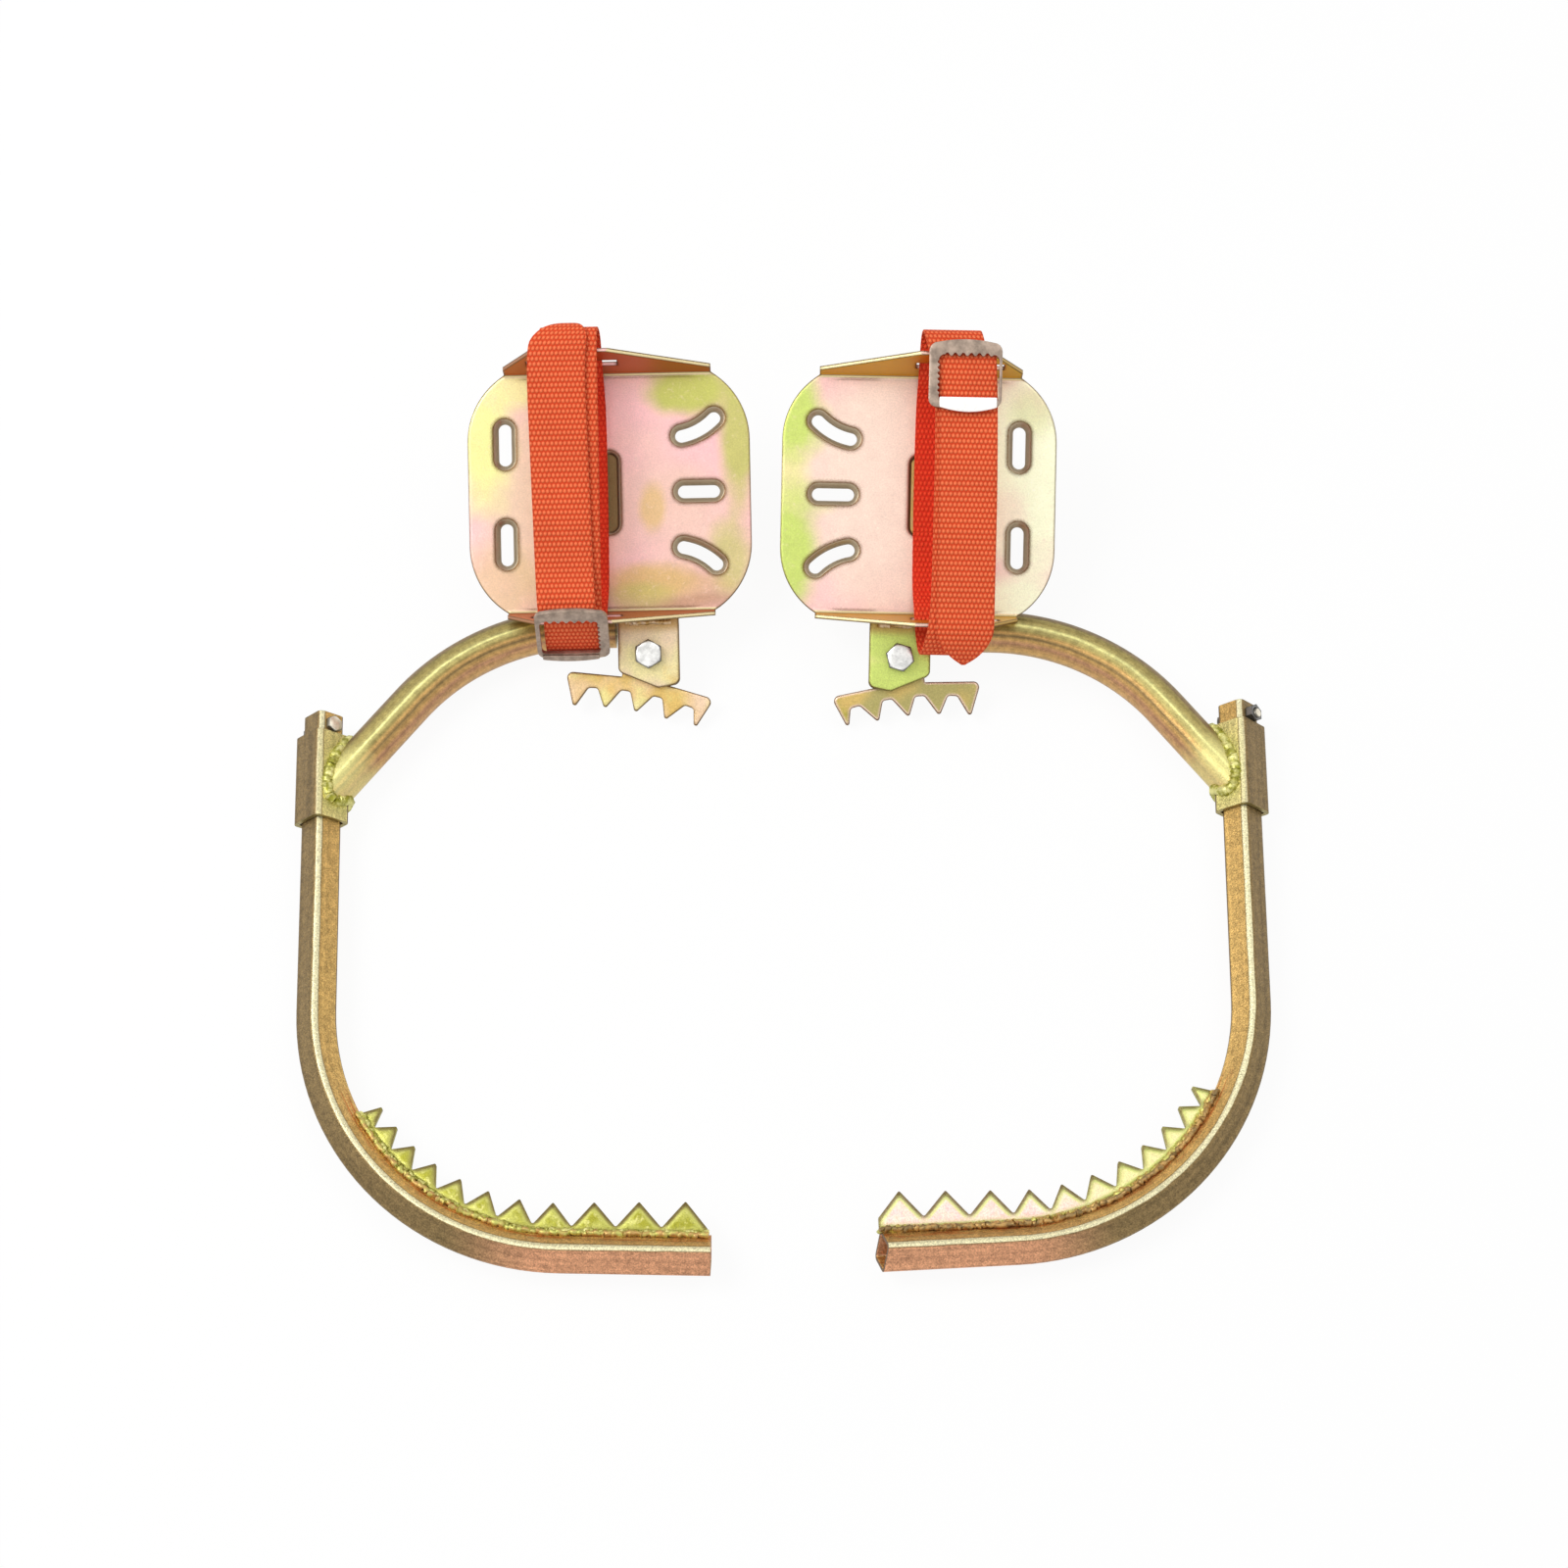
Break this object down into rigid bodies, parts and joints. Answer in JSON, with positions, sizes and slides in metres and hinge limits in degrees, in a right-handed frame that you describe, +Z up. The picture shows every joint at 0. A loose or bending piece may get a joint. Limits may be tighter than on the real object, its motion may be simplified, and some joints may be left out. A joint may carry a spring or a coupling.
{
  "type": "tree climbing spikes",
  "caption": "Pair of foot-hook tree climbers: strapped foot plates on bent arms, each with a sliding toothed hook and a pivoting toothed jaw.",
  "frame": {"origin": "on the ground under the middle of the pair's box", "axes": "+X to the right across the pair, +Y from the hooks towards the foot plates, +Z up off the ground"},
  "size_m": [0.49, 0.4624, 0.1152],
  "materials": {
    "plated_frame": "yellow zinc plating",
    "plated_hook": "yellow zinc plating",
    "plated_teeth": "yellow zinc plating",
    "plated_jaw": "yellow zinc plating",
    "bright_fastener": "bright zinc plating",
    "webbing": "woven polyester webbing",
    "buckle_steel": "dull nickel plating"
  },
  "bodies": {
    "left_frame": {"left_foot_plate": "plated_frame", "left_arm_tube": "plated_frame", "left_sleeve": "plated_frame", "left_plate_brace": "plated_frame", "left_jaw_bracket": "plated_frame", "left_jaw_bolt": "bright_fastener", "left_jaw_washer": "bright_fastener", "left_jaw_nut": "bright_fastener", "left_strap_lower_run": "webbing", "left_strap_upper_run": "webbing", "left_strap_tail": "webbing", "left_buckle_frame": "buckle_steel"},
    "left_hook": {"left_hook_tube": "plated_hook", "left_hook_teeth": "plated_teeth", "left_stop_bolt": "bright_fastener", "left_stop_nut": "bright_fastener"},
    "left_jaw": {"left_jaw": "plated_jaw"},
    "left_buckle_bar": {"left_buckle_bar": "buckle_steel"},
    "right_frame": {"right_foot_plate": "plated_frame", "right_arm_tube": "plated_frame", "right_sleeve": "plated_frame", "right_plate_brace": "plated_frame", "right_jaw_bracket": "plated_frame", "right_jaw_bolt": "bright_fastener", "right_jaw_washer": "bright_fastener", "right_jaw_nut": "bright_fastener", "right_strap_lower_run": "webbing", "right_strap_upper_run": "webbing", "right_strap_tail": "webbing", "right_buckle_frame": "buckle_steel"},
    "right_hook": {"right_hook_tube": "plated_hook", "right_hook_teeth": "plated_teeth", "right_stop_bolt": "bright_fastener", "right_stop_nut": "bright_fastener"},
    "right_jaw": {"right_jaw": "plated_jaw"},
    "right_buckle_bar": {"right_buckle_bar": "buckle_steel"}
  },
  "joints": [
    {"name": "left_hook_slide", "type": "slide", "parent": "left_frame", "child": "left_hook", "axis": [-0.0471, 0.9989, 0], "range_m": [0, 0.095]},
    {"name": "left_jaw_pivot", "type": "hinge", "parent": "left_frame", "child": "left_jaw", "pos_m": [-0.06765, 0.08894, 0.01785], "axis": [0.0092, -0.4066, 0.9135], "range_deg": [-8.2, 31.8]},
    {"name": "left_buckle_bar_slide", "type": "slide", "parent": "left_frame", "child": "left_buckle_bar", "axis": [-0.0061, 0.2685, 0.9633], "range_m": [0, 0.006]},
    {"name": "right_hook_slide", "type": "slide", "parent": "right_frame", "child": "right_hook", "axis": [0.0279, 0.9996, 0], "range_m": [0, 0.095]},
    {"name": "right_jaw_pivot", "type": "hinge", "parent": "right_frame", "child": "right_jaw", "pos_m": [0.0604, 0.08691, 0.01785], "axis": [-0.0092, -0.4066, 0.9135], "range_deg": [-27.2, 12.8]},
    {"name": "right_buckle_bar_slide", "type": "slide", "parent": "right_frame", "child": "right_buckle_bar", "axis": [0.0207, 0.9133, 0.4067], "range_m": [0, 0.006]},
    {"name": "pair_apart", "type": "slide", "parent": "left_frame", "child": "right_frame", "axis": [1, 0, 0], "range_m": [0, 0.15]}
  ]
}
